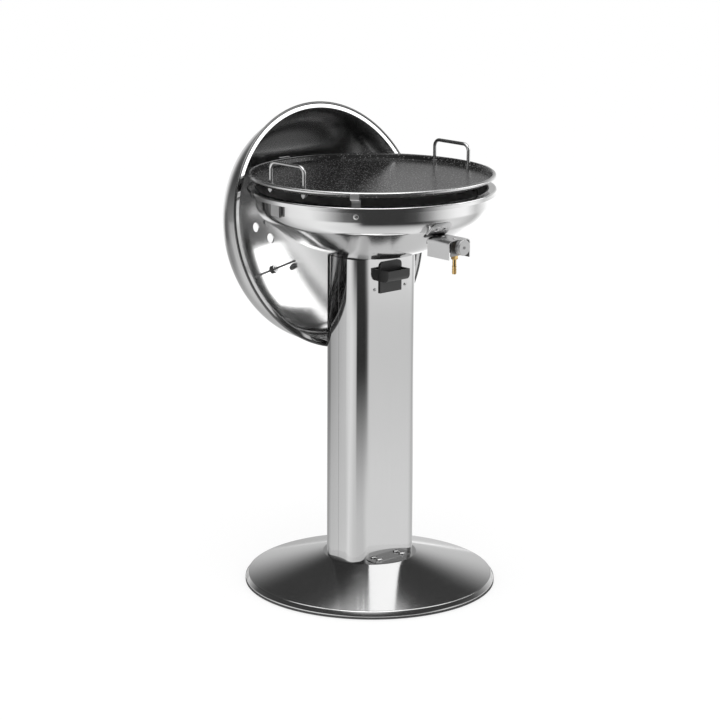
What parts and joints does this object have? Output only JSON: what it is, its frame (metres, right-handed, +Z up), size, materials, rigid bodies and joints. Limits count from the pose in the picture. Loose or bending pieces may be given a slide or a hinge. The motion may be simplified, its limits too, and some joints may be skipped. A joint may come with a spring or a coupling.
{
  "type": "park barbecue grill pedestal",
  "caption": "Gas barbecue bowl on a folded column and round foot, with a lift-off pan, a drip tray and a domed lid hung behind the bowl.",
  "frame": {"origin": "the column's axis at floor level", "axes": "+Z up the column; -Y is the front, with the knob and the drip tray; +Y is the back, where the lid hangs; the pan's handles are at -X and +X"},
  "size_m": [0.56, 0.6554, 1.0598],
  "materials": {
    "base_steel": "polished spun stainless steel",
    "column_steel": "polished folded stainless steel",
    "bowl_steel": "satin spun stainless steel",
    "lid_steel": "polished spun stainless steel",
    "clip_steel": "satin stainless sheet",
    "tray_steel": "plain stainless sheet",
    "wire_steel": "bright bent rod",
    "zinc": "bright plated fastener",
    "dark_paint": "black paint",
    "rubber": "black rubber",
    "black_parts": "black moulded plastic",
    "knob_metal": "satin turned aluminium",
    "enamel": "black speckled enamel",
    "burner_iron": "heat-dulled steel",
    "brass": "turned brass",
    "clear_glass": "clear glass",
    "needle_paint": "red paint",
    "probe_steel": "plain stainless stem"
  },
  "bodies": {
    "stand": {"base_disc": "base_steel", "base_ballast": "dark_paint", "base_hub": "dark_paint", "base_fixing_plate": "zinc", "base_feet": "rubber", "column_front": "column_steel", "column_rear": "column_steel", "column_straps": "zinc", "column_top_plate": "zinc", "foot_bolts": "zinc", "foot_nuts": "zinc", "tray_guide": "zinc", "tray_guide_screws": "zinc", "tray_guide_nuts": "zinc", "bowl": "bowl_steel", "bowl_pad": "rubber", "bowl_bolts": "zinc", "bowl_nuts": "zinc", "drain_spout": "zinc", "side_clip": "clip_steel", "pan_supports": "clip_steel", "support_bolts": "zinc", "support_nuts": "zinc", "burner_ring": "burner_iron", "burner_tube": "zinc", "burner_legs": "zinc", "valve_guard": "clip_steel", "guard_screws": "zinc", "guard_nuts": "zinc", "valve_bracket": "clip_steel", "bracket_screws": "zinc", "valve_body": "dark_paint", "gas_jet": "brass", "hose_nozzle": "brass"},
    "tray": {"grease_tray": "tray_steel", "tray_front": "black_parts", "tray_rivets": "zinc"},
    "spindle": {"valve_spindle": "brass"},
    "knob": {"knob": "knob_metal", "knob_screw": "zinc"},
    "pan": {"pan": "enamel", "pan_handle_left": "wire_steel", "pan_handle_right": "wire_steel", "handle_collars": "zinc", "handle_nuts": "zinc"},
    "lid": {"lid_shell": "lid_steel", "lid_handle": "wire_steel", "lid_handle_collars": "zinc", "lid_handle_nuts": "zinc", "lid_hook": "clip_steel", "hook_rivets": "zinc", "damper_pivot": "zinc", "thermometer_case": "clip_steel", "thermometer_glass": "clear_glass", "thermometer_nut": "zinc", "thermometer_probe": "probe_steel"},
    "damper": {"vent_damper": "clip_steel"},
    "needle": {"thermometer_needle": "needle_paint"}
  },
  "joints": [
    {"name": "tray_slide", "type": "slide", "parent": "stand", "child": "tray", "axis": [0, -1, 0], "range_m": [0, 0.1]},
    {"name": "valve_push", "type": "slide", "parent": "stand", "child": "spindle", "axis": [0, 1, 0], "range_m": [0, 0.003], "stiffness_N_per_m": 1500},
    {"name": "knob_turn", "type": "hinge", "parent": "spindle", "child": "knob", "pos_m": [-0.02, -0.298, 0.807], "axis": [0, -1, 0], "range_deg": [0, 180]},
    {"name": "pan_lift", "type": "slide", "parent": "stand", "child": "pan", "axis": [0, -0.6428, 0.766], "range_m": [0, 0.2]},
    {"name": "lid_lift", "type": "slide", "parent": "stand", "child": "lid", "axis": [0, 0.766, 0.6428], "range_m": [0, 0.25]},
    {"name": "vent_turn", "type": "hinge", "parent": "lid", "child": "damper", "pos_m": [-0.061, 0.2862, 0.78269], "axis": [-0.1354, 0.9741, -0.1811], "range_deg": [0, 45]},
    {"name": "needle_turn", "type": "hinge", "parent": "lid", "child": "needle", "pos_m": [-0.06746, 0.26241, 0.67652], "axis": [0.1465, -0.9013, 0.4077], "range_deg": [0, 250]}
  ]
}
